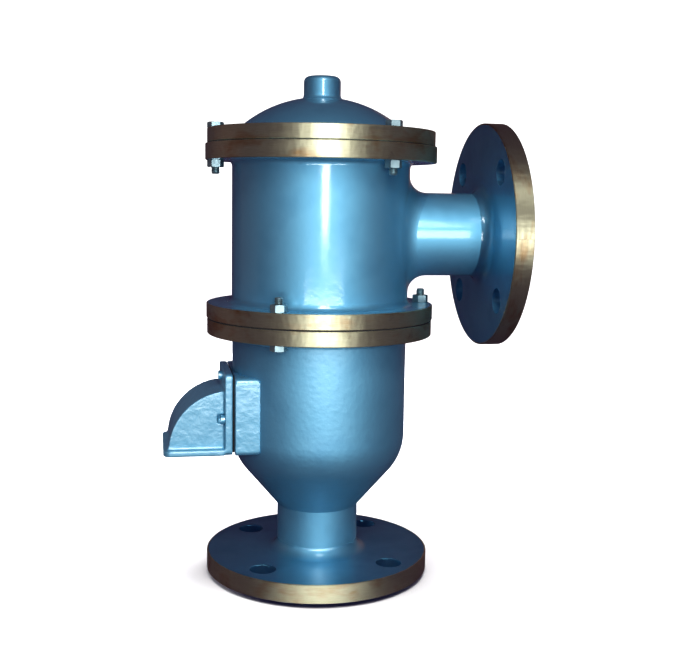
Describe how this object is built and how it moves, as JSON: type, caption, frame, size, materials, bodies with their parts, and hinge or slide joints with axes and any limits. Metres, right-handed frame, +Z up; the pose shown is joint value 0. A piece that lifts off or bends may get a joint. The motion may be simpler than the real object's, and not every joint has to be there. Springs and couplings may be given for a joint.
{
  "type": "tank breather valve",
  "caption": "Upright cylindrical breather valve with a flanged inlet below, a flanged side outlet, a bolted domed cover and a hooded air intake; two weighted pallets lift inside.",
  "frame": {"origin": "centre of the inlet flange's raised sealing face", "axes": "+Z up along the main axis, +X towards the side outlet, so the air intake hood faces -X"},
  "size_m": [0.244, 0.162, 0.3535],
  "materials": {
    "enamel": "glossy blue enamel",
    "turned_rim": "turned, yellow chromate tint",
    "stainless": "machined",
    "aluminium": "machined",
    "ptfe": "smooth",
    "gasket": "matt sheet",
    "zinc": "bright zinc plate",
    "brass": "machined"
  },
  "bodies": {
    "housing": {"inlet_flange": "enamel", "lower_body": "enamel", "lower_body_ring": "turned_rim", "intake_frame": "enamel", "intake_duct": "stainless", "vacuum_seat": "stainless", "insect_screen": "stainless", "hood_gasket": "gasket", "intake_hood": "enamel", "hood_screws": "zinc", "pressure_seat": "stainless", "mid_joint_gasket": "gasket", "mid_joint_bolts": "zinc", "mid_joint_nuts": "zinc", "upper_body": "enamel", "upper_body_base_ring": "turned_rim", "upper_body_top_ring": "turned_rim", "outlet_collar": "enamel", "outlet_pipe": "enamel", "outlet_flange": "enamel", "cover_gasket": "gasket", "cover_flange": "turned_rim", "cover_dome": "enamel", "guide_boss": "enamel", "guide_bush": "brass", "cover_joint_bolts": "zinc", "cover_joint_nuts": "zinc"},
    "pressure_pallet": {"pressure_disc": "stainless", "pressure_seal": "ptfe", "pressure_seal_washer": "stainless", "pressure_stem": "stainless", "pressure_weights": "zinc", "pressure_disc_nut": "stainless", "pressure_stop_nut": "stainless"},
    "vacuum_pallet": {"vacuum_disc": "aluminium", "vacuum_seal": "ptfe", "vacuum_seal_washer": "aluminium", "vacuum_stem": "aluminium", "vacuum_disc_nut": "aluminium", "vacuum_stop_nut": "aluminium"}
  },
  "joints": [
    {"name": "pressure_pallet_lift", "type": "slide", "parent": "housing", "child": "pressure_pallet", "axis": [0, 0, 1], "range_m": [0, 0.015]},
    {"name": "vacuum_pallet_lift", "type": "slide", "parent": "housing", "child": "vacuum_pallet", "axis": [0, 0, 1], "range_m": [0, 0.01]}
  ]
}
